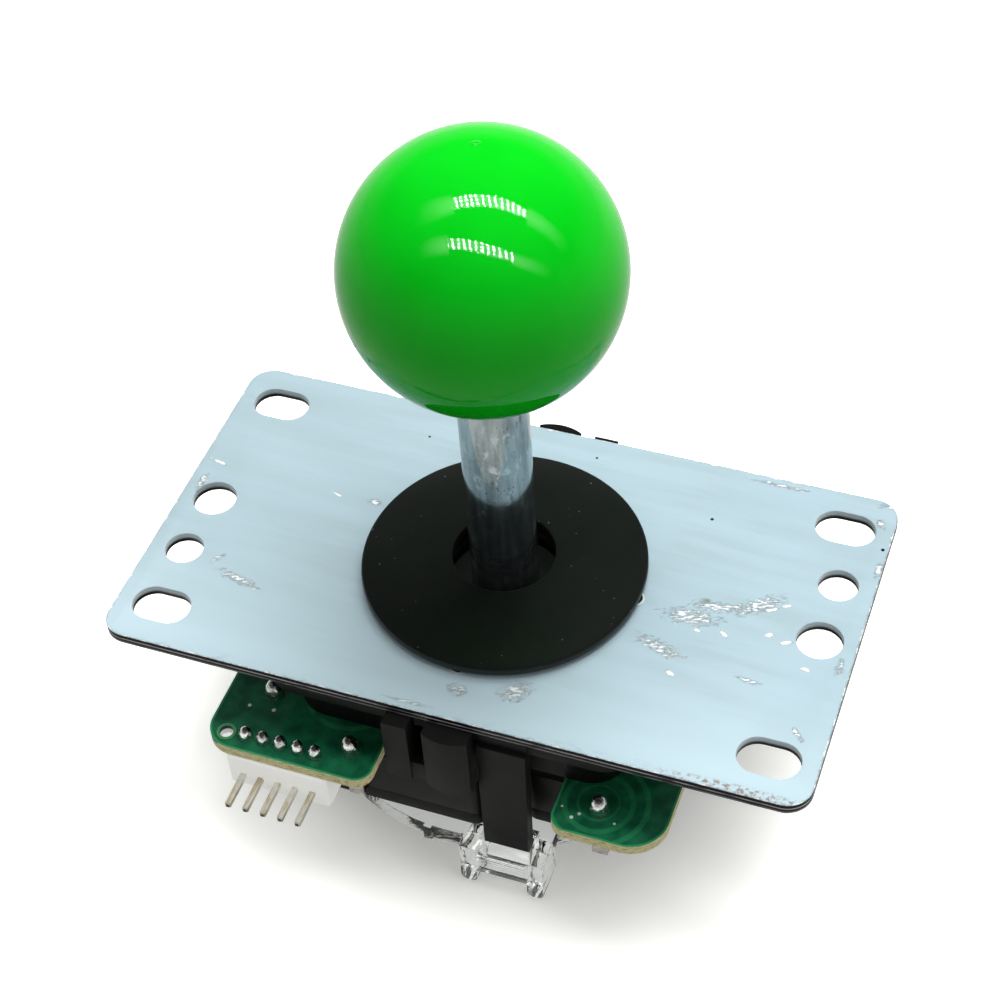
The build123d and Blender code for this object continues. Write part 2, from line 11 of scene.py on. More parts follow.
import bpy
from mathutils import Euler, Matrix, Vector


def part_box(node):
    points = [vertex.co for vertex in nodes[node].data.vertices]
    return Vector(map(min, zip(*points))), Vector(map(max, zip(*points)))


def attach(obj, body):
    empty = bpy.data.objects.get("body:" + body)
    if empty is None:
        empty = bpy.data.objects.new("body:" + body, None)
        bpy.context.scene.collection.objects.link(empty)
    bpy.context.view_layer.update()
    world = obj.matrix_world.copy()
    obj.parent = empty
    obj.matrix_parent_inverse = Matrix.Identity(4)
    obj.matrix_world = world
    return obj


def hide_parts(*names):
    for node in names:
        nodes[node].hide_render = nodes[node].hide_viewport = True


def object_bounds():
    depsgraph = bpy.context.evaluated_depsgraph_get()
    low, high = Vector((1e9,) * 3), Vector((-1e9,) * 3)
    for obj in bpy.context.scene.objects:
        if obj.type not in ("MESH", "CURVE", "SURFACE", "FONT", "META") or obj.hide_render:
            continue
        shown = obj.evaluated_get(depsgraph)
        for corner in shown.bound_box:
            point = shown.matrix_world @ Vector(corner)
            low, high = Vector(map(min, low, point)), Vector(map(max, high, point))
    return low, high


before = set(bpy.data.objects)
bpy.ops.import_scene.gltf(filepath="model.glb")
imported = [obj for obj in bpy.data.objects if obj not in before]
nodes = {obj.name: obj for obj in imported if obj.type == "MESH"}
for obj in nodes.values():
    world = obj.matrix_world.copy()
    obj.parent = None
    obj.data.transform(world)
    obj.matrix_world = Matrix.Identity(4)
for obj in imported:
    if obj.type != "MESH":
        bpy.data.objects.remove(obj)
cad_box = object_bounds()
MM = 0.001
print("CAD box in mm:", [round(v / MM, 2) for corner in cad_box for v in corner])

# %% [markdown]
# ## Camera
# The camera comes first, because everything is compared from it. Its lens, place and turn were worked out
# from the plate's straight edges and the ball's outline. It looks down at the plate from the front right.

# %% Camera
lens_in_pixels = 2132.3
picture_side = 1000
film_width = 36.0
camera_place = Vector((74.94, -176.51, 217.36)) * MM
camera_turn = Euler([math.radians(v) for v in (43.118, 3.031, 19.774)])

camera_data = bpy.data.cameras.new("camera")
camera_data.sensor_width = film_width
camera_data.lens = lens_in_pixels / picture_side * film_width
camera_data.clip_start = 0.01
camera = bpy.data.objects.new("camera", camera_data)
camera.location = camera_place
camera.rotation_euler = camera_turn
bpy.context.scene.collection.objects.link(camera)
bpy.context.scene.camera = camera
print("lens in mm:", round(camera_data.lens, 2))

# %% [markdown]
# ## Small helpers for modelling
# Blender's operators act on everything that is selected, so each step starts by selecting one piece only.
# Places are read from the frame, so that a dressed piece lies exactly where its solid does.

# %% Modelling helpers


def select_only(piece):
    """Nothing else is selected, and the piece is the active one."""
    bpy.ops.object.select_all(action="DESELECT")
    piece.select_set(True)
    bpy.context.view_layer.objects.active = piece


def apply_all(piece):
    """Puts the piece's place and modifiers into its mesh."""
    select_only(piece)
    bpy.ops.object.transform_apply(location=True, rotation=True, scale=True)
    for modifier in list(piece.modifiers):
        bpy.ops.object.modifier_apply(modifier=modifier.name)


sharp_from = 35


def round_edges(piece, width):
    """A small bevel on every edge that is sharper than 35 degrees."""
    bevel = piece.modifiers.new("rounded", "BEVEL")
    bevel.width = width
    bevel.segments = 3
    bevel.limit_method = "ANGLE"
    bevel.angle_limit = math.radians(sharp_from)
    bevel.use_clamp_overlap = False
    apply_all(piece)


def smooth(piece, limit=sharp_from):
    """Shades curved stretches smooth and leaves the corners crisp."""
    select_only(piece)
    bpy.ops.object.shade_smooth_by_angle(angle=math.radians(limit))


# Their flat faces have windows and many corners. Joined and bevelled, such a face fills wrongly.
kept_in_triangles = ("housing", "restrictor_gate", "switch_case", "switch_cover")


def copy_of(node, name, edge=0.0):
    """A merged copy of a solid, with its sharp edges rounded a little."""
    piece = bpy.data.objects.new(name, nodes[node].data.copy())
    bpy.context.scene.collection.objects.link(piece)
    select_only(piece)
    bpy.ops.object.mode_set(mode="EDIT")
    bpy.ops.mesh.select_all(action="SELECT")
    bpy.ops.mesh.remove_doubles(threshold=1e-6)
    if not node.startswith(kept_in_triangles):
        bpy.ops.mesh.dissolve_limited(angle_limit=math.radians(0.5))
    bpy.ops.object.mode_set(mode="OBJECT")
    if edge:
        round_edges(piece, edge)
    smooth(piece)
    return piece


def lathe(name, profile, sides=128, edge=0.0):
    """A turned piece: a circle is pulled and widened from point to point of its profile, in mm."""
    bpy.ops.object.select_all(action="DESELECT")
    radius, height = profile[0]
    bpy.ops.mesh.primitive_circle_add(vertices=sides, radius=radius * MM, location=(0, 0, height * MM))
    piece = bpy.context.object
    piece.name = name
    bpy.ops.object.transform_apply(location=True, rotation=True, scale=True)
    bpy.ops.object.mode_set(mode="EDIT")
    bpy.ops.mesh.select_mode(type="VERT")
    bpy.ops.mesh.select_all(action="SELECT")
    for next_radius, next_height in profile[1:]:
        rise = (0, 0, (next_height - height) * MM)
        bpy.ops.mesh.extrude_edges_move(TRANSFORM_OT_translate={"value": rise})
        wider = next_radius / radius
        bpy.ops.transform.resize(value=(wider, wider, 1), center_override=(0, 0, next_height * MM))
        radius, height = next_radius, next_height
    bpy.ops.mesh.select_all(action="SELECT")
    bpy.ops.mesh.remove_doubles(threshold=1e-7)
    bpy.ops.mesh.select_all(action="DESELECT")
    bpy.ops.mesh.select_non_manifold()
    if any(e.select for e in edges_of(piece)):
        bpy.ops.mesh.fill_holes(sides=0)
    bpy.ops.mesh.select_all(action="SELECT")
    bpy.ops.mesh.normals_make_consistent(inside=False)
    bpy.ops.object.mode_set(mode="OBJECT")
    if edge:
        round_edges(piece, edge)
    smooth(piece)
    return piece


def edges_of(piece):
    """The edges as they are selected now, also in edit mode."""
    piece.update_from_editmode()
    return piece.data.edges


def islands_of(node):
    """The boxes of a node's separate solids, in mm, from its merged copy."""
    copy = copy_of(node, "islands")
    select_only(copy)
    bpy.ops.object.mode_set(mode="EDIT")
    bpy.ops.mesh.select_all(action="SELECT")
    bpy.ops.mesh.separate(type="LOOSE")
    bpy.ops.object.mode_set(mode="OBJECT")
    boxes = []
    for island in list(bpy.context.selected_objects):
        corners = [v.co / MM for v in island.data.vertices]
        low = Vector([min(c[i] for c in corners) for i in range(3)])
        high = Vector([max(c[i] for c in corners) for i in range(3)])
        boxes.append((low, high))
        bpy.data.objects.remove(island)
    return boxes


def dress(piece, finish, body, slot, *stands_for):
    """Gives a piece its finish, its body and the solids that it stands for."""
    piece.data.materials.clear()
    piece.data.materials.append(finish)
    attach(piece, body)
    if stands_for:
        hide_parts(*stands_for)
    print(piece.name, "faces:", len(piece.data.polygons))


def paint(node, finish):
    """Gives a solid that stays as it is its finish."""
    mesh = nodes[node].data
    mesh.materials.clear()
    mesh.materials.append(finish)


# %% [markdown]
# ## Small helpers for materials
# A finish is a sum of plain formulas: noise, distances and masks. Writing them as Python expressions keeps
# them readable. Each operator adds one Math node, and places are in millimetres on the object.

# %% Material helpers


class Value:
    """A socket that Python's operators build Math nodes on."""

    def __init__(self, finish, socket):
        self.finish = finish
        self.socket = socket

    def math(self, operation, *others):
        return self.finish.add("ShaderNodeMath", dict(enumerate((self, *others))), operation=operation)

    def __add__(self, other):
        return self.math("ADD", other)

    def __radd__(self, other):
        return self.math("ADD", other)

    def __mul__(self, other):
        return self.math("MULTIPLY", other)

    def __rmul__(self, other):
        return self.math("MULTIPLY", other)

    def __sub__(self, other):
        return self.math("SUBTRACT", other)

    def __rsub__(self, other):
        return self.finish.add("ShaderNodeMath", {0: other, 1: self}, operation="SUBTRACT")

    def __pow__(self, other):
        return self.math("POWER", other)

    def __abs__(self):
        return self.math("ABSOLUTE")

    def most(self, other):
        return self.math("MAXIMUM", other)

    def rise(self, low, high):
        """0 below low, 1 above high, with a soft step between."""
        sockets = {"Value": self, "From Min": low, "From Max": high}
        return self.finish.add("ShaderNodeMapRange", sockets, interpolation_type="SMOOTHSTEP")

    def fall(self, low, high):
        """1 below low, 0 above high."""
        return 1 - self.rise(low, high)


class Tree:
    """A node tree that nodes are added to."""

    def __init__(self, tree):
        self.tree = tree

    def put(self, socket, value):
        """A socket takes a link, a colour or a number."""
        if isinstance(value, Value):
            self.tree.links.new(value.socket, socket)
        elif isinstance(value, (tuple, list)) and len(value) == 3 and socket.type == "RGBA":
            socket.default_value = (*value, 1)
        else:
            socket.default_value = value

    def add(self, kind, sockets=None, output=0, **settings):
        """Any node: its settings first, then its sockets."""
        node = self.tree.nodes.new(kind)
        for name, value in settings.items():
            setattr(node, name, value)
        for key, value in (sockets or {}).items():
            self.put(node.inputs[key], value)
        return Value(self, node.outputs[output])

    def light_path(self):
        """Whether a ray comes from the camera, a reflection or a refraction."""
        kinds = ("Camera", "Glossy", "Transmission")
        return [self.add("ShaderNodeLightPath", output=f"Is {kind} Ray") for kind in kinds]

    def mix(self, first, second, share):
        """The first colour, turning into the second as the share goes from 0 to 1."""
        return self.add("ShaderNodeMix", {0: share, 6: first, 7: second}, output=2, data_type="RGBA")

    def parts(self, point):
        """X, Y and Z of a point."""
        node = self.add("ShaderNodeSeparateXYZ", {0: point})
        outputs = node.socket.node.outputs
        return [Value(self, outputs[k]) for k in range(3)]


class Finish(Tree):
    """One material, built on Blender's main surface shader."""

    def __init__(self, name, **constants):
        self.material = bpy.data.materials.new(name)
        self.material.use_nodes = True
        super().__init__(self.material.node_tree)
        self.shader = self.tree.nodes["Principled BSDF"]
        self.set(**constants)

    def set(self, **values):
        """Links or sets the shader's own sockets."""
        for name, value in values.items():
            socket = name.replace("_", " ").title().replace("Ior", "IOR")
            self.put(self.shader.inputs[socket], value)

    def place(self):
        """The point on the object, in mm."""
        point = self.add("ShaderNodeTexCoord", output="Object")
        return self.add("ShaderNodeVectorMath", {0: point, "Scale": 1 / MM}, operation="SCALE")

    def normal(self):
        """X, Y and Z of the surface's direction."""
        return self.parts(self.add("ShaderNodeNewGeometry", output="True Normal"))

    def moved(self, point, offset=(0, 0, 0), turn=0.0, stretch=(1, 1, 1)):
        """The point seen from an offset, turned about Z and divided by a size on each axis."""
        rotation = (0, 0, math.radians(turn))
        sockets = {"Vector": point, "Location": offset, "Rotation": rotation, "Scale": stretch}
        return self.add("ShaderNodeMapping", sockets, vector_type="TEXTURE")

    def noise(self, size, detail=4.0, rough=0.5, stretch=(1, 1, 1), offset=(0, 0, 0), turn=0.0):
        """Soft noise from 0 to 1 whose blobs are about that many mm across."""
        scaled = [size * s for s in stretch]
        where = self.moved(self.place(), offset, turn, scaled)
        sockets = {"Vector": where, "Scale": 1.0, "Detail": detail, "Roughness": rough}
        return self.add("ShaderNodeTexNoise", sockets)

    def cells(self, size, stretch=(1, 1, 1), turn=0.0):
        """Distance to scattered points about that many mm apart."""
        scaled = [size * s for s in stretch]
        where = self.moved(self.place(), (0, 0, 0), turn, scaled)
        return self.add("ShaderNodeTexVoronoi", {"Vector": where, "Scale": 1.0}, feature="F1")

    def length(self, point):
        return self.add("ShaderNodeVectorMath", {0: point}, output="Value", operation="LENGTH")

    def bump(self, height, depth):
        """Lets a height pattern, depth in mm, tilt the surface."""
        sockets = {"Height": height, "Distance": depth * MM, "Strength": 1.0}
        self.set(normal=self.add("ShaderNodeBump", sockets))


# %% [markdown]
# ## Floor, background and light
# The object stands on a plain white floor. To soft light the floor is darker than to the camera, because a
# white one would throw so much light upwards that the ball's lower half went pale. A part of its white is
# its own glow. The glow is weaker round the object, which paints a soft shadow there, also in mirrors, on
# top of the shadow that the lamps cast, and full far away, where the floor has to pass into the white
# background without an edge. The sky is white to the camera and through clear plastic. In mirrors it is
# bright near the horizon and dark above, and as soft light it is weak.

# %% Floor
floor_height = cad_box[0].z
bpy.ops.object.select_all(action="DESELECT")
floor_side = 6
bpy.ops.mesh.primitive_plane_add(size=floor_side, location=(0, 0, floor_height))
floor = bpy.context.object
floor.name = "floor"
apply_all(floor)
floor_paint = Finish("floor_paint", roughness=0.9, specular_ior_level=0.1)
camera_ray, mirror_ray, clear_ray = floor_paint.light_path()
paper = (1, 1, 0.965)
in_mirrors = 0.55
by_reflection = (mirror_ray * in_mirrors).most(clear_ray)
floor_bounce = 0.2
floor_white = 0.9
level = camera_ray.most(by_reflection) * (floor_white - floor_bounce) + floor_bounce
floor_paint.set(base_color=floor_paint.mix((0, 0, 0), paper, level))

# Distances from the frame's origin in metres, and the glow under, beside and far from the object. The
# weaker glow under and beside the object paints a shadow on the floor.
away = floor_paint.length(floor_paint.add("ShaderNodeTexCoord", output="Object"))
beside = away.rise(0.040, 0.060)
far_off = away.rise(0.15, 0.9)
shaded_glow = 0.25
near_glow = 0.67
glow_with_painted_shadow = beside * (near_glow - shaded_glow) + far_off * (1 - near_glow) + shaded_glow
# In mirrors, too, the floor near the object is painted darker: a painted shadow.
floor_glow = 0.41
mirrored_glow_with_painted_shadow = far_off * (1 - floor_glow) + floor_glow
glow = (camera_ray * glow_with_painted_shadow).most(by_reflection * mirrored_glow_with_painted_shadow)
floor_paint.set(emission_color=floor_paint.mix((0, 0, 0), paper, glow), emission_strength=1.0)
floor.data.materials.append(floor_paint.material)

# %% Sky
world = bpy.data.worlds.new("studio")
world.use_nodes = True
bpy.context.scene.world = world
sky = Tree(world.node_tree)
camera_ray, mirror_ray, clear_ray = sky.light_path()
direction = sky.add("ShaderNodeTexCoord", output="Generated")
upward = sky.parts(direction)[2]
soft_light = 0.22
mirror_top = 0.05
mirror_horizon = 0.6
mirror_level = upward.fall(0.04, 0.42) * (mirror_horizon - mirror_top) + mirror_top
level = mirror_ray * (mirror_level - soft_light) + soft_light
level = level.most(camera_ray).most(clear_ray)
background = world.node_tree.nodes["Background"]
sky.put(background.inputs["Color"], sky.mix((0, 0, 0), (1, 1, 1), level))

# %% Lamps


def lamp(name, place, size, power):
    """A square soft lamp that looks at the origin, in metres, and isn't seen in mirrors."""
    data = bpy.data.lights.new(name, "AREA")
    data.size = size
    data.energy = power
    light = bpy.data.objects.new(name, data)
    light.location = place
    light.rotation_euler = (-light.location).to_track_quat("-Z", "Y").to_euler()
    light.visible_glossy = False
    bpy.context.scene.collection.objects.link(light)


lamp("top_lamp", (0.06, 0.27, 0.75), size=0.6, power=8.0)
lamp("right_lamp", (0.62, -0.15, 0.45), size=0.4, power=0.9)
lamp("left_lamp", (-0.6, -0.4, 0.4), size=0.4, power=0.6)

# %% [markdown]
# ## The lamps that the ball mirrors
# The ball is a curved mirror, so each light in it has one place in the room. A ray goes from the camera
# through a point of the picture, meets the ball, and is reflected. Half a metre along that ray the light is
# built. Two bands of small bright cells make the two combs, with a faint glow at their ends. Light linking
# gives these lamps to the ball alone, so that no other piece mirrors them.

# %% Mirrored lamps
ball_low, ball_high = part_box("ball_top")
ball_radius = (ball_high.x - ball_low.x) / 2 / MM
ball_centre = Vector((0, 0, ball_high.z / MM - ball_radius))
lamp_distance = 0.5


def on_ball(pixel):
    """The point of the ball that is seen at a point of the picture, and the ray that meets it."""
    across = (pixel[0] - picture_side / 2) / lens_in_pixels
    up = (picture_side / 2 - pixel[1]) / lens_in_pixels
    ray = (camera_turn.to_matrix() @ Vector((across, up, -1))).normalized()
    offset = camera_place - ball_centre * MM
    along = ray.dot(offset)
    reach = -along - math.sqrt(along**2 - offset.length_squared + (ball_radius * MM) ** 2)
    return camera_place + ray * reach, ray


def mirrored(pixel):
    """Where a light stands, half a metre off, that the ball mirrors at a point of the picture."""
    hit, ray = on_ball(pixel)
    normal = (hit - ball_centre * MM).normalized()
    return hit + ray.reflect(normal) * lamp_distance


lit_by_bands = bpy.data.collections.new("lit_by_bands")


def lamp_band(name, edges, finish):
    """A band of light between two rows of picture points, with u along it and v across it."""
    points = [mirrored(pixel) for pair in edges for pixel in pair]
    faces = [(2 * k, 2 * k + 2, 2 * k + 3, 2 * k + 1) for k in range(len(edges) - 1)]
    mesh = bpy.data.meshes.new(name)
    mesh.from_pydata(points, [], faces)
    uv = mesh.uv_layers.new(name="band").data
    for loop in mesh.loops:
        step, side = divmod(loop.vertex_index, 2)
        uv[loop.index].uv = (step / (len(edges) - 1), side)
    mesh.materials.append(finish)
    band = bpy.data.objects.new(name, mesh)
    bpy.context.scene.collection.objects.link(band)
    band.visible_camera = False
    band.visible_shadow = False
    band.visible_diffuse = False
    band.light_linking.receiver_collection = lit_by_bands


def comb_light(columns, rows, power):
    """Bright cells in rows, as a lamp made of many small diodes."""
    finish = Finish("comb_light", base_color=(0, 0, 0), specular_ior_level=0.0, emission_strength=power)
    u, v = finish.parts(finish.add("ShaderNodeTexCoord", output="UV"))[:2]
    across = (u * (columns * 2 * math.pi)).math("SINE").rise(-0.1, 0.5)
    down = (v * (rows * 2 * math.pi)).math("SINE").rise(-0.9, 0.0)
    cells = across * down * 0.95 + 0.05
    finish.set(emission_color=finish.mix((0, 0, 0), (1, 1, 1), cells))
    return finish.material


def glow_light(power):
    """A soft light that fades along its band and at both edges."""
    finish = Finish("glow_light", base_color=(0, 0, 0), specular_ior_level=0.0, emission_strength=power)
    u, v = finish.parts(finish.add("ShaderNodeTexCoord", output="UV"))[:2]
    shape = (v * math.pi).math("SINE") * u.fall(0.0, 1.0)
    finish.set(emission_color=finish.mix((0, 0, 0), (1, 1, 1), shape))
    return finish.material


upper_comb = [
    ((449, 199), (452, 211)),
    ((461, 196), (464, 208)),
    ((474, 194.5), (477, 206.5)),
    ((490, 195.5), (492, 207.5)),
    ((506, 199.5), (507, 211.5)),
    ((520, 206), (520, 216)),
    ((535, 218), (533, 222)),
]
lower_comb = [
    ((445, 239), (447, 249)),
    ((462, 239), (464, 250.5)),
    ((480, 242), (481, 253.5)),
    ((498, 247.5), (499, 258)),
    ((516, 254.5), (517, 263)),
]
glow_bands = {
    "glow_upper_left": [((452, 194), (455, 215)), ((434, 197), (436, 222)), ((414, 206), (416, 232))],
    "glow_lower_left": [((448, 234), (449, 256)), ((432, 236), (433, 258)), ((416, 244), (417, 262))],
    "glow_upper_right": [((528, 206), (526, 226)), ((552, 222), (548, 240)), ((574, 246), (566, 262))],
    "glow_lower_right": [((512, 252), (512, 266)), ((534, 258), (532, 274)), ((558, 268), (554, 284))],
}
lamp_band("upper_comb_lamp", upper_comb, comb_light(columns=15, rows=3, power=240))
lamp_band("lower_comb_lamp", lower_comb, comb_light(columns=12, rows=3, power=190))
glow_finish = glow_light(power=11.0)
for name, edges in glow_bands.items():
    lamp_band(name, edges, glow_finish)

# %% [markdown]
# ## Plastic finishes
# The ball is one clear, saturated green with a high gloss. The housing, the switches and the dust washer are
# black, but no two blacks are alike: the washer is satin with lint on it, the mouldings are flatter.

# %% Ball plastic


def ball_plastic():
    """Glossy green, a trace lighter in soft clouds, with a tiny gate mark on top."""
    finish = Finish("ball_green", roughness=0.03, specular_ior_level=0.1)
    clouds = finish.noise(9, detail=2)
    colour = finish.mix((0.001, 0.59, 0.008), (0.005, 0.70, 0.018), clouds)
    gate_mark = on_ball((476, 143))[0] / MM
    mark_radius = 0.42
    from_mark = finish.length(finish.moved(finish.place(), tuple(gate_mark)))
    ring = abs(from_mark - mark_radius).fall(0.05, 0.22)
    finish.set(base_color=colour)
    finish.bump(ring + finish.noise(0.5, detail=3) * 0.02, 0.08)
    return finish.material


# %% Black plastics


def washer_plastic():
    """Satin black with lint and dust, and a faint turning grain."""
    finish = Finish("washer_black", specular_ior_level=0.3)
    lint = finish.cells(1.5).fall(0.035, 0.07) * finish.noise(7, detail=1).rise(0.46, 0.56)
    hairs = finish.cells(2.6, stretch=(1, 0.22, 1), turn=35).fall(0.05, 0.07)
    hairs = hairs * finish.noise(6, detail=1, offset=(9, 2, 0)).rise(0.58, 0.66)
    dirt = lint.most(hairs)
    clouds = finish.noise(6, detail=5)
    black = finish.mix((0.0056, 0.0077, 0.0061), (0.0093, 0.012, 0.0099), clouds)
    finish.set(base_color=finish.mix(black, (0.22, 0.22, 0.22), dirt))
    finish.set(roughness=0.34 + clouds * 0.12 + dirt * 0.3)
    finish.bump(finish.noise(0.25, detail=3) + dirt * 2, 0.01)
    return finish.material


def moulded_black(name, base=0.0055, rough=0.42, lift=0.0):
    """Flat black moulding with a fine spark texture and a little dust. A lift above 0 is a faint glow:
    painted light.
    """
    finish = Finish(name, specular_ior_level=0.16)
    clouds = finish.noise(5, detail=6)
    dust = finish.cells(1.6).fall(0.03, 0.05) * finish.noise(5, detail=1).rise(0.52, 0.6)
    colour = finish.mix((base, base * 1.1, base), (base * 2, base * 2.15, base * 2), clouds)
    finish.set(base_color=finish.mix(colour, (0.16, 0.16, 0.15), dust))
    # The lift is a faint glow, painted light on a part that is no lamp.
    finish.set(roughness=rough + clouds * 0.2, emission_color=(0.85, 1, 0.88), emission_strength=lift)
    finish.bump(finish.noise(0.18, detail=2), 0.012)
    return finish.material


ball_green = ball_plastic()
washer_black = washer_plastic()
housing_black = moulded_black("housing_black")
switch_black = moulded_black("switch_black", base=0.007, rough=0.34)
# The bush parts glow faintly: painted light that lifts them in the dark under the washer's hole.
bush_black_with_painted_glow = moulded_black("bush_black_with_painted_glow", base=0.004, rough=0.6, lift=0.006)

# %% [markdown]
# ## The plate's steel
# The plate is zinc-coated steel sheet. A clear film still sticks to it in places, and it has lifted into
# wrinkles and bubbles; the light they catch is painted as white glints, with painted shade beside them.
# Long pale streaks run along the plate, and its front edge has grime and a little rust. The left is painted
# darker and the front paler, painted shade and light. Its cut edge is painted in dark and bright bands,
# painted shade and highlights on a sheared edge.

# %% Plate steel
plate_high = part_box("mounting_plate")[1]
plate_half_x = plate_high.x / MM
plate_half_y = plate_high.y / MM
plate_corner = 3.5

# Wrinkles in the film: centre x, y, length, width in mm, turn in degrees.
film_wrinkles = [
    (-34.0, -12.9, 10.5, 2.0, -13),
    (-38.4, -10.2, 3.4, 1.2, 55),
    (-21.7, 5.9, 3.0, 1.6, 0),
    (26.5, -1.2, 11.0, 3.8, 4),
    (34.6, 3.4, 10.0, 3.6, 36),
    (24.0, -7.3, 10.0, 3.0, -16),
    (29.5, 1.6, 10.0, 2.6, 8),
    (1.3, -21.9, 3.6, 2.6, -20),
    (8.5, -19.9, 6.0, 4.2, 40),
    (47.2, -3.6, 1.6, 4.0, 0),
    (36.6, -9.3, 4.5, 1.2, -6),
    (44.7, -15.8, 3.6, 1.2, -48),
    (32.0, 25.4, 12.0, 1.0, 0),
    (46.6, 22.3, 3.2, 1.6, -60),
    (-46.8, 2.4, 1.6, 5.0, 0),
    (-4.5, -25.6, 9.0, 0.7, 0),
    (47.0, 26.0, 4.0, 2.0, 20),
    (48.2, 14.0, 1.6, 4.0, 0),
]

# Bubbles in the film, painted white as highlights: centre x, y, length, width in mm, turn in degrees.
film_bubble_highlights = [
    (26.6, -11.0, 2.1, 1.0, -14),
    (31.5, -2.7, 1.9, 0.8, -28),
    (37.1, -1.1, 1.5, 0.9, 42),
    (39.4, -1.8, 2.6, 0.8, 22),
    (43.1, -5.3, 1.7, 0.8, 0),
    (36.3, 3.1, 2.6, 0.7, 30),
    (38.2, 4.4, 1.8, 0.6, 20),
    (27.9, -3.1, 1.4, 0.7, -10),
    (48.2, 14.0, 0.9, 1.8, 0),
    (47.6, 26.0, 1.6, 1.0, -40),
    (-46.0, 6.7, 3.6, 0.7, -13),
    (-27.1, 5.7, 2.2, 0.5, -16),
]

# Round screw heads that peek out under the washer's rim, painted on the plate with a highlight ring: centre
# x, y in mm.
peeking_heads = [(0.1, -18.0), (18.4, -0.2)]

# Black specks: centre x, y and radius in mm.
plate_specks = [(24.4, 16.5, 0.28), (47.9, 17.8, 0.3), (-18.8, 20.2, 0.22), (5.6, 23.1, 0.22)]


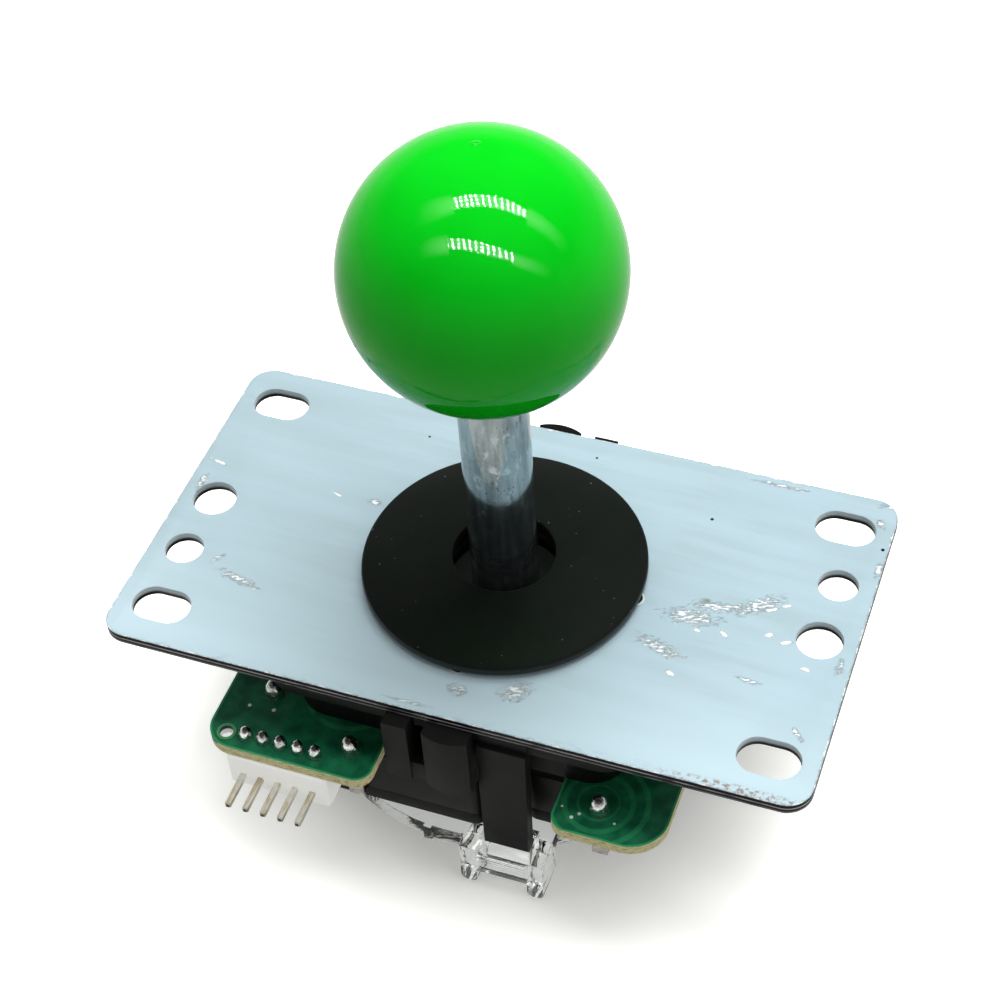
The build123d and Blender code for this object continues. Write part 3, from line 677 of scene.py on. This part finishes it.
def plate_steel():
    """Pale zinc, streaks, lifted film, grime and a cut edge, with painted glints, shade and highlights."""
    finish = Finish("plate_steel", specular_ior_level=0.12)
    point = finish.place()
    x, y, z = finish.parts(point)

    # The zinc's tones: streaks along the plate and cloudy patches. Then painted shade to the left and
    # painted light to the front.
    streaks = finish.noise(1.0, detail=4, stretch=(30, 3.0, 9), turn=-3)
    fine = finish.noise(1.0, detail=3, stretch=(9, 0.5, 9), turn=-3)
    veil = finish.noise(16, detail=3)
    zinc = finish.mix((0.392, 0.512, 0.562), (0.43, 0.562, 0.628), streaks.rise(0.36, 0.64))
    zinc = finish.mix(zinc, (0.424, 0.562, 0.63), veil.rise(0.4, 0.7) * 0.7)
    zinc = finish.mix(zinc, (0.35, 0.468, 0.51), fine.rise(0.55, 0.75) * 0.3)
    # Painted shade and light: the left a little darker, the front paler.
    zinc = finish.mix(zinc, (0.40, 0.51, 0.545), x.fall(-38, 0) * 0.3)
    zinc = finish.mix(zinc, (0.55, 0.705, 0.775), y.fall(-29, -3) * 0.8)

    # The film: where it is crumpled, white flecks that are painted glints with painted shade beside them,
    # and bubbles painted white as highlights.
    lifted = None
    for place_x, place_y, long, wide, turn in film_wrinkles:
        spot = finish.moved(point, (place_x, place_y, 0), turn, (long / 2, wide / 2, 4))
        near = finish.length(spot).fall(0.1, 1.25)
        lifted = near if lifted is None else lifted.most(near)
    crumple = finish.noise(0.62, detail=6, rough=0.68, stretch=(1.7, 0.6, 1), turn=18)
    beside = finish.noise(0.62, detail=6, rough=0.68, stretch=(1.7, 0.6, 1), turn=18, offset=(0.1, 0.2, 0))
    ragged = finish.noise(0.8, detail=5, rough=0.7)
    bubble_highlights = None
    for place_x, place_y, long, wide, turn in film_bubble_highlights:
        spot = finish.moved(point, (place_x, place_y, 0), turn, (long / 2, wide / 2, 4))
        near = (finish.length(spot) + ragged * 2.2).fall(1.7, 1.85)
        bubble_highlights = near if bubble_highlights is None else bubble_highlights.most(near)
    drawn = lifted * 0.2
    painted_film_glints = ((crumple + drawn).rise(0.64, 0.71) * lifted.rise(0.02, 0.3) * 0.85).most(bubble_highlights)
    painted_wrinkle_shade = (beside + drawn).rise(0.61, 0.70) * lifted.rise(0.02, 0.3) * (1 - painted_film_glints)
    zinc = finish.mix(zinc, (0.42, 0.56, 0.62), lifted * 0.3)
    zinc = finish.mix(zinc, (0.20, 0.25, 0.28), painted_wrinkle_shade * 0.2)
    zinc = finish.mix(zinc, (0.95, 0.97, 0.98), painted_film_glints)

    # The outer rim, measured from the rounded outline in mm, is worn and chipped. Each screw head that
    # peeks out is painted as a pale ring, a painted highlight, round a dark middle, a painted shade.
    corner_x = (abs(x) - (plate_half_x - plate_corner)).most(0)
    corner_y = (abs(y) - (plate_half_y - plate_corner)).most(0)
    rim = (corner_x * corner_x + corner_y * corner_y) ** 0.5 - plate_corner
    worn = (rim + ragged * 0.9).rise(0.2, 0.42)
    zinc = finish.mix(zinc, (0.24, 0.26, 0.26), worn * 0.45)
    for head_x, head_y in peeking_heads:
        head = finish.length(finish.moved(point, (head_x, head_y, 0))) + ragged * 0.3
        zinc = finish.mix(zinc, (0.86, 0.90, 0.92), head.fall(1.45, 1.6))
        zinc = finish.mix(zinc, (0.02, 0.022, 0.022), head.fall(1.2, 1.4))
    chips = (rim + finish.noise(1.6, detail=4, rough=0.7, offset=(6, 2, 0)) * 1.6).rise(0.72, 0.82)
    zinc = finish.mix(zinc, (0.92, 0.95, 0.97), chips * 0.9)

    # Grime and rust along the front edge, specks and one stain.
    front = (y + plate_half_y).fall(0.1, 1.7)
    grime = finish.noise(0.9, detail=6, rough=0.7, stretch=(2.2, 1, 1)).rise(0.5, 0.7) * front
    zinc = finish.mix(zinc, (0.16, 0.15, 0.13), grime * 0.3)
    rust_zone = finish.length(finish.moved(point, (40, -26.1, 0), 0, (13, 0.9, 5))).fall(0.4, 1.1)
    rust = finish.noise(0.7, detail=5, rough=0.7, offset=(1, 5, 2)).rise(0.47, 0.6) * rust_zone
    zinc = finish.mix(zinc, (0.22, 0.095, 0.05), rust * 0.75)
    for speck_x, speck_y, size in plate_specks:
        speck = finish.length(finish.moved(point, (speck_x, speck_y, 0))).fall(size * 0.7, size)
        zinc = finish.mix(zinc, (0.01, 0.01, 0.01), speck)
    stain = finish.length(finish.moved(point, (27.7, 2.1, 0), 0, (1.1, 0.7, 2))).fall(0.3, 1.1)
    zinc = finish.mix(zinc, (0.26, 0.30, 0.28), stain * 0.6)

    # The sheared edge and the punched holes, in painted bands. Near the axis, under the washer's hole, the
    # holes' walls and the zinc are painted near black: painted shade.
    mottle = finish.noise(0.8, detail=5, stretch=(4, 4, 0.5))
    # Outer edge: near black above, painted shade, and a bright and a grey line below, painted highlights.
    cut_dark = finish.mix((0.002, 0.002, 0.002), (0.016, 0.014, 0.014), mottle.rise(0.4, 0.7))
    cut_bright = finish.mix((0.16, 0.15, 0.16), (0.75, 0.75, 0.77), mottle.rise(0.35, 0.55))
    cut = finish.mix(cut_dark, cut_bright, abs(z + 0.72).fall(0.07, 0.12))
    second_line = abs(z + 1.38).fall(0.1, 0.16) * mottle.rise(0.3, 0.5)
    cut = finish.mix(cut, (0.30, 0.30, 0.31), second_line)
    # The holes' walls: pale above, painted lighter than bare steel as painted light, and near black below.
    sheared = (z + mottle * 0.3).rise(-1.0, -0.45)
    punched = finish.mix((0.004, 0.004, 0.004), (0.75, 0.85, 0.90), sheared)
    punched = finish.mix(punched, (0.03, 0.033, 0.03), (x * x + y * y).fall(200, 260))
    cut = finish.mix(cut, punched, rim.fall(-0.9, -0.5))
    zinc = finish.mix(zinc, (0.008, 0.009, 0.008), (x * x + y * y).fall(120, 180))
    upward = abs(finish.normal()[2]).rise(0.35, 0.7)
    finish.set(base_color=finish.mix(cut, zinc, upward))
    finish.set(roughness=0.40 - painted_film_glints * 0.25)
    wave = finish.noise(3.0, detail=2) * 0.12
    finish.bump(painted_film_glints + wave - painted_wrinkle_shade * 0.3 - worn * 0.3, 0.09)
    return finish.material


# %% [markdown]
# ## Turned and plated metals
# The shaft is bright plated steel with fine drawing lines along it and small pits. The solder is almost a
# mirror, with a brown ring of flux at its foot. The header's pins are dull gold.

# %% Metals


def shaft_steel():
    """Plated steel with lengthwise bands, cloudy patches and fine pits."""
    finish = Finish("shaft_steel", metallic=0.92)
    bands = finish.noise(1.0, detail=3, stretch=(1.1, 1.1, 9))
    mottle = finish.noise(2.2, detail=6, rough=0.62, stretch=(1, 1, 1.6))
    grain = finish.noise(0.5, detail=4, rough=0.6)
    pits = finish.cells(0.8).fall(0.09, 0.16) * finish.noise(2.6, detail=2).rise(0.5, 0.6)
    steel = finish.mix((0.21, 0.255, 0.265), (0.37, 0.425, 0.435), bands.rise(0.34, 0.68))
    steel = finish.mix(steel, (0.72, 0.79, 0.82), mottle.rise(0.54, 0.66) * 0.5)
    steel = finish.mix(steel, (0.22, 0.25, 0.26), mottle.fall(0.36, 0.46) * 0.6)
    steel = finish.mix(steel, (0.40, 0.44, 0.46), grain.rise(0.5, 0.7) * 0.4)
    finish.set(base_color=finish.mix(steel, (0.06, 0.06, 0.065), pits))
    finish.set(roughness=0.05 + mottle * 0.12)
    finish.bump(mottle * 0.4 + grain * 0.3 - pits, 0.018)
    return finish.material


def plain_metal(name, dark, bright, rough):
    """A plated metal with soft clouds of tone."""
    finish = Finish(name, metallic=1.0)
    clouds = finish.noise(1.5, detail=4)
    finish.set(base_color=finish.mix(dark, bright, clouds.rise(0.3, 0.7)))
    finish.set(roughness=rough + clouds * 0.15)
    finish.bump(clouds, 0.01)
    return finish.material


def solder_metal():
    """Bright solder over a brown rim of flux."""
    finish = Finish("solder_metal")
    z = finish.parts(finish.place())[2]
    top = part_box("circuit_board")[1].z / MM
    lumps = finish.noise(0.9, detail=3)
    flux = (z - top).fall(0.05, 0.42) * finish.noise(0.7, detail=3, offset=(3, 1, 0)).rise(0.42, 0.58)
    bright = finish.mix((0.50, 0.50, 0.50), (0.92, 0.92, 0.91), lumps.rise(0.35, 0.6))
    finish.set(base_color=finish.mix(bright, (0.16, 0.065, 0.03), flux))
    finish.set(metallic=1 - flux * 0.8, roughness=0.07 + lumps * 0.12 + flux * 0.2)
    finish.bump(lumps, 0.12)
    return finish.material


def pin_metal():
    """Dull gold, worn to silver on the shaft of the pin and dark at the cut tip."""
    finish = Finish("pin_metal")
    y = finish.parts(finish.place())[1]
    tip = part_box("header_pins")[0].y / MM
    worn = finish.noise(0.9, detail=4, stretch=(1, 4, 1))
    gold = finish.mix((0.46, 0.40, 0.26), (0.90, 0.88, 0.80), worn.rise(0.35, 0.6))
    end = (y - tip).fall(0.05, 0.2)
    finish.set(base_color=finish.mix(gold, (0.05, 0.045, 0.04), end))
    finish.set(metallic=worn.rise(0.4, 0.6) * 0.6, roughness=0.22 + worn * 0.15)
    finish.bump(worn, 0.02)
    return finish.material


# %% [markdown]
# ## Board, header and gate
# The board is dark glossy green where copper lies under the varnish, and a lighter green where it doesn't:
# round its rim and in curved gaps between the tracks. Its sawn edge is rough, tan and without varnish. The
# gate is clear plastic, so it needs real refraction rather than a see-through colour.

# %% Board varnish and edge
board_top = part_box("circuit_board")[1].z / MM
spare_hole = (-30.0, -29.6)

# Painted highlights: white glints on the varnish, centre x, y and radius in mm.
painted_board_glints = [
    (-28.8, -24.6, 0.36),
    (-25.3, -24.4, 0.38),
    (18.7, -28.7, 0.42),
    (19.5, -27.9, 0.4),
    (24.3, -28.0, 0.3),
    (-20.5, -32.0, 0.3),
    (17.0, -27.4, 0.28),
]


def board_face(name, copper):
    """Green varnish; with copper below, darker and crossed by curved tracks."""
    finish = Finish(name, roughness=0.16, coat_weight=0.6, coat_roughness=0.04)
    clouds = finish.noise(2.2, detail=4)
    bare = finish.mix((0.02, 0.28, 0.10), (0.05, 0.40, 0.16), clouds)
    if not copper:
        finish.set(base_color=bare)
        finish.bump(clouds, 0.02)
        return finish.material
    point = finish.place()
    solid = finish.mix((0.006, 0.085, 0.042), (0.016, 0.19, 0.08), clouds.rise(0.25, 0.75))
    centres = [(21.4, -25.5), (-16.0, -18.0)]
    gaps = None
    for centre_x, centre_y in centres:
        away = finish.length(finish.moved(point, (centre_x, centre_y, board_top)))
        wave = (away * (2 * math.pi / 2.0)).math("SINE")
        track = wave.rise(0.2, 0.6) * away.fall(7.6, 8.0) * away.rise(2.4, 2.8)
        gaps = track if gaps is None else gaps.most(track)
    broken = finish.noise(5, detail=1, offset=(2, 8, 0)).rise(0.36, 0.46)
    gaps = gaps * broken
    colour = finish.mix(solid, bare, gaps * 0.45)
    from_hole = finish.length(finish.moved(point, (*spare_hole, board_top)))
    colour = finish.mix(colour, (0.62, 0.42, 0.14), from_hole.fall(1.22, 1.34))
    for glint_x, glint_y, size in painted_board_glints:
        board_glint = finish.length(finish.moved(point, (glint_x, glint_y, board_top))) + clouds * 0.3
        colour = finish.mix(colour, (0.85, 0.88, 0.85), board_glint.fall(size, size + 0.06))
    finish.set(base_color=colour)
    finish.bump(gaps * -0.6 + clouds * 0.3, 0.035)
    return finish.material


def board_edge():
    """Tan, rough, stringy sawn glass-fibre with a painted glow; the spare hole's plated wall has painted
    shade and reflection.
    """
    finish = Finish("board_edge", specular_ior_level=0.2)
    strands = finish.noise(0.5, detail=6, rough=0.7, stretch=(1.5, 1.5, 0.35))
    cream = finish.mix((0.48, 0.40, 0.17), (0.95, 0.88, 0.52), strands.rise(0.3, 0.6))
    from_hole = finish.length(finish.moved(finish.place(), (*spare_hole, board_top)))
    plated = from_hole.fall(2.0, 2.2)
    z = finish.parts(finish.place())[2]
    # The plated wall: near black above, painted shade, and white below, painted reflection.
    tin_painted_shade_and_reflection = finish.mix((0.02, 0.02, 0.02), (0.95, 0.95, 0.95), (board_top - z).rise(0.55, 0.8))
    colour = finish.mix(cream, tin_painted_shade_and_reflection, plated)
    finish.set(base_color=colour, roughness=0.85 - plated * 0.6)
    # The whole edge glows a little: painted light that lifts it in the plate's shade.
    finish.set(emission_color=colour, emission_strength=0.16)
    finish.bump(strands, 0.3)
    return finish.material


# %% Header and gate


def header_plastic():
    """White moulding with soft clouds and a faint glow, painted light that makes it look a little
    translucent.
    """
    finish = Finish("header_white", specular_ior_level=0.4)
    clouds = finish.noise(3, detail=3)
    finish.set(base_color=finish.mix((0.90, 0.90, 0.88), (0.96, 0.96, 0.95), clouds))
    # The glow is painted light: it lifts the header out of the board's shade.
    finish.set(roughness=0.38 + clouds * 0.15, emission_color=(1, 1, 0.96), emission_strength=0.36)
    finish.bump(finish.noise(0.3, detail=2), 0.01)
    return finish.material


def clear_plastic():
    """Clear moulding with slight flow marks."""
    finish = Finish("gate_clear", base_color=(0.93, 0.95, 0.95), ior=1.49, transmission_weight=1.0)
    flow = finish.noise(4, detail=3, stretch=(1, 1, 2.5))
    finish.set(roughness=0.015 + flow * 0.05)
    finish.bump(flow + finish.noise(0.9, detail=3) * 0.25, 0.12)
    return finish.material


plate_finish = plate_steel()
shaft_finish = shaft_steel()
screw_finish = plain_metal("screw_steel", (0.42, 0.43, 0.44), (0.72, 0.73, 0.74), 0.22)
spring_finish = plain_metal("spring_steel", (0.30, 0.30, 0.31), (0.58, 0.58, 0.59), 0.25)
brass_finish = plain_metal("insert_brass", (0.55, 0.38, 0.14), (0.80, 0.60, 0.28), 0.2)
blade_finish = plain_metal("terminal_plating", (0.50, 0.45, 0.38), (0.82, 0.80, 0.76), 0.22)
solder_finish = solder_metal()
pin_finish = pin_metal()
copper_face = board_face("board_copper", True)
bare_face = board_face("board_bare", False)
edge_finish = board_edge()
header_finish = header_plastic()
gate_finish = clear_plastic()
plunger_finish = moulded_black("plunger_red", base=0.05, rough=0.3)

# %% [markdown]
# ## The ball
# The ball is the piece that is looked at first, and its reflections show every facet. A dense sphere is cut
# flat below, where it meets the shaft, and the flat gets the pocket for the brass insert.

# %% Ball
bpy.ops.object.select_all(action="DESELECT")
fine = {"segments": 160, "ring_count": 96}
bpy.ops.mesh.primitive_uv_sphere_add(**fine, radius=ball_radius * MM, location=ball_centre * MM)
ball = bpy.context.object
ball.name = "green_ball"
apply_all(ball)
ball_flat = ball_low.z
bpy.ops.object.mode_set(mode="EDIT")
bpy.ops.mesh.select_all(action="SELECT")
bpy.ops.mesh.bisect(plane_co=(0, 0, ball_flat), plane_no=(0, 0, 1), use_fill=True, clear_inner=True)
insert_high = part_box("ball_insert")[1]
flat_radius = math.sqrt(ball_radius**2 - (ball_centre.z - ball_flat / MM) ** 2)
pocket_wall = flat_radius - insert_high.x / MM
bpy.ops.mesh.inset(thickness=pocket_wall * MM)
bpy.ops.mesh.extrude_region_move(TRANSFORM_OT_translate={"value": (0, 0, insert_high.z - ball_flat)})
bpy.ops.mesh.select_all(action="SELECT")
bpy.ops.mesh.normals_make_consistent(inside=False)
bpy.ops.object.mode_set(mode="OBJECT")
round_edges(ball, 0.25 * MM)
smooth(ball)
dress(ball, ball_green, "lever", "ball", "ball_top")
lit_by_bands.objects.link(ball)
paint("ball_insert", brass_finish)

# %% [markdown]
# ## The shaft
# A turned part is drawn as half of its outline. Each point of the outline is a ring that is pulled out of
# the one before. The heights come from the solids, the small chamfers are the turner's.

# %% Shaft
shaft_low, shaft_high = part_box("lever_shaft")
bush_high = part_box("pivot_bush")[1]
ring_low, ring_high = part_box("retaining_ring")
shaft_radius = shaft_high.x / MM
spindle_radius = 3.5
stud_radius = 3.0
stud_point = 0.8
groove_radius = 2.7
groove_slack = 0.05
end_chamfer = 0.4
stud_end = shaft_high.z / MM
shoulder = ball_flat / MM
spindle_top = bush_high.z / MM
spindle_end = shaft_low.z / MM
shaft = lathe(
    "steel_shaft",
    [
        (stud_radius - stud_point, stud_end),
        (stud_radius, stud_end - stud_point),
        (stud_radius, shoulder),
        (shaft_radius, shoulder),
        (shaft_radius, spindle_top),
        (spindle_radius, spindle_top),
        (spindle_radius, ring_high.z / MM + groove_slack),
        (groove_radius, ring_high.z / MM + groove_slack),
        (groove_radius, ring_low.z / MM - groove_slack),
        (spindle_radius, ring_low.z / MM - groove_slack),
        (spindle_radius, spindle_end + end_chamfer),
        (spindle_radius - end_chamfer, spindle_end),
    ],
    edge=0.08 * MM,
)
dress(shaft, shaft_finish, "lever", "shaft_steel", "lever_shaft")
paint("retaining_ring", spring_finish)

# %% [markdown]
# ## The dust washer
# The washer is a shallow cone with a thick rim. Its edge is softly rounded, so that it catches a thin line
# of light all round.

# %% Washer
washer_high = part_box("dust_washer")[1]
washer_radius = washer_high.x / MM
rim_height = 1.8
wall = 1.5
rise_per_mm = 0.104
hole_height = washer_high.z / MM
hole_radius = washer_radius - (hole_height - rim_height) / rise_per_mm
seat_radius = washer_radius - 1.5
rim_chamfer = 0.7
washer = lathe(
    "black_washer",
    [
        (washer_radius - rim_chamfer, 0),
        (washer_radius, rim_chamfer),
        (washer_radius, rim_height),
        (hole_radius, hole_height),
        (hole_radius, hole_height - wall),
        (seat_radius, 0),
        (washer_radius - rim_chamfer, 0),
    ],
    sides=192,
    edge=0.3 * MM,
)
print("washer hole radius in mm:", round(hole_radius, 2))
dress(washer, washer_black, "base", "washer", "dust_washer")

# %% [markdown]
# ## Sheet steel and mouldings
# These solids already have their true form. A merged copy of each gets rounded edges, because no sheared or
# moulded edge is sharp, and it is the thin highlight along the edge that makes it look real. Each row gives
# the solid, the copy's name, the width of its rounded edges in mm, its finish, its body and its slot.

# %% Copies with rounded edges
mouldings = [
    ("mounting_plate", "steel_plate", 0.10, plate_finish, "base", "plate"),
    ("housing", "black_housing", 0.10, housing_black, "base", "housing"),
    ("restrictor_gate", "clear_gate_moulding", 0.08, gate_finish, "base", "clear_gate"),
    ("header_base", "white_header", 0.12, header_finish, "base", "header_white"),
    ("header_pins", "square_pins", 0.06, pin_finish, "base", "pin_metal"),
    ("plate_screws", "countersunk_screws", 0.06, screw_finish, "base", "screw_steel"),
    ("actuator", "switch_cup", 0.12, bush_black_with_painted_glow, "tilting_cup", "bush"),
    ("spring_collar", "flanged_collar", 0.12, bush_black_with_painted_glow, "tilting_cup", "bush"),
    ("pivot_bush", "round_bush", 0.15, bush_black_with_painted_glow, "tilting_cup", "bush"),
]
for node, name, edge, finish, body, slot in mouldings:
    piece = copy_of(node, name, edge * MM)
    dress(piece, finish, body, slot, node)

spring = copy_of("return_spring", "coil_spring")
dress(spring, spring_finish, "tilting_cup", "spring_steel", "return_spring")

# %% Switches
for side in ("front", "right", "back", "left"):
    case = copy_of(f"switch_case_{side}", f"case_{side}", 0.10 * MM)
    dress(case, switch_black, "base", "switch_black", f"switch_case_{side}")
    cover = copy_of(f"switch_cover_{side}", f"cover_{side}", 0.10 * MM)
    dress(cover, switch_black, "base", "switch_black", f"switch_cover_{side}")
    blades = copy_of(f"switch_terminals_{side}", f"blades_{side}", 0.08 * MM)
    dress(blades, blade_finish, "base", "solder", f"switch_terminals_{side}")
    paint(f"switch_plunger_{side}", plunger_finish)

# %% [markdown]
# ## The circuit board
# The copper ends a little short of the board's edge and of every hole. So the upper face is inset by that
# much: the strip that is left outside gets the bare green, the inner face the darker green. All the faces
# that stand upright are the sawn edge.

# %% Board
board = copy_of("circuit_board", "green_board")
copper_margin = 0.3
board.data.materials.clear()
for finish in (copper_face, bare_face, edge_finish):
    board.data.materials.append(finish)
COPPER, BARE, EDGE = range(3)
select_only(board)
bpy.ops.object.mode_set(mode="EDIT")
bpy.ops.mesh.select_mode(type="FACE")
bpy.ops.mesh.select_all(action="DESELECT")
bpy.ops.object.mode_set(mode="OBJECT")
for face in board.data.polygons:
    face.select = face.normal.z > 0.9
    face.material_index = EDGE if abs(face.normal.z) < 0.9 else COPPER
bpy.ops.object.mode_set(mode="EDIT")
bpy.ops.mesh.inset(thickness=copper_margin * MM, use_even_offset=True)
bpy.ops.mesh.select_all(action="INVERT")
bpy.ops.object.mode_set(mode="OBJECT")
for face in board.data.polygons:
    if face.select and face.normal.z > 0.9:
        face.material_index = BARE
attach(board, "base")
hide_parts("circuit_board")
bare_faces = [face for face in board.data.polygons if face.material_index == BARE]
print("board faces:", len(board.data.polygons), "bare:", len(bare_faces))

# %% [markdown]
# ## Solder joints
# A joint is a small dome of solder that has flowed up round its pin. The frame's solids give each joint's
# place, width and height. The domes are turned from one outline, and each leans a little its own way.

# %% Solder joints
# The dome's outline, as shares of its width and height.
dome = [(0.99, 0.18), (0.94, 0.38), (0.83, 0.57), (0.67, 0.74), (0.46, 0.88), (0.24, 0.96), (0.06, 1.0)]
foot_height = 0.06
random.seed(4)
joints = []
for low, high in islands_of("solder_joints"):
    foot = (high.x - low.x) / 2
    height = high.z - low.z
    outline = [(foot, low.z), (foot, low.z + foot_height)]
    outline += [(foot * wide, low.z + height * tall) for wide, tall in dome]
    joint = lathe(f"joint_{len(joints)}", outline, sides=40)
    lean = Vector((random.uniform(-0.06, 0.06), random.uniform(-0.06, 0.06), 0))
    centre = (low + high) / 2
    for vertex in joint.data.vertices:
        lift = max(0.0, vertex.co.z / MM - low.z) / height
        vertex.co += (Vector((centre.x, centre.y, 0)) + lean * lift) * MM
    smooth(joint, 60)
    joints.append(joint)
bpy.ops.object.select_all(action="DESELECT")
for joint in joints:
    joint.select_set(True)
bpy.context.view_layer.objects.active = joints[0]
bpy.ops.object.join()
solder = bpy.context.object
solder.name = "solder_beads"
dress(solder, solder_finish, "base", "solder", "solder_joints")

# %% [markdown]
# ## Colour view
# The view transform is set to Standard.

# %% Finish
bpy.context.scene.view_settings.view_transform = "Standard"
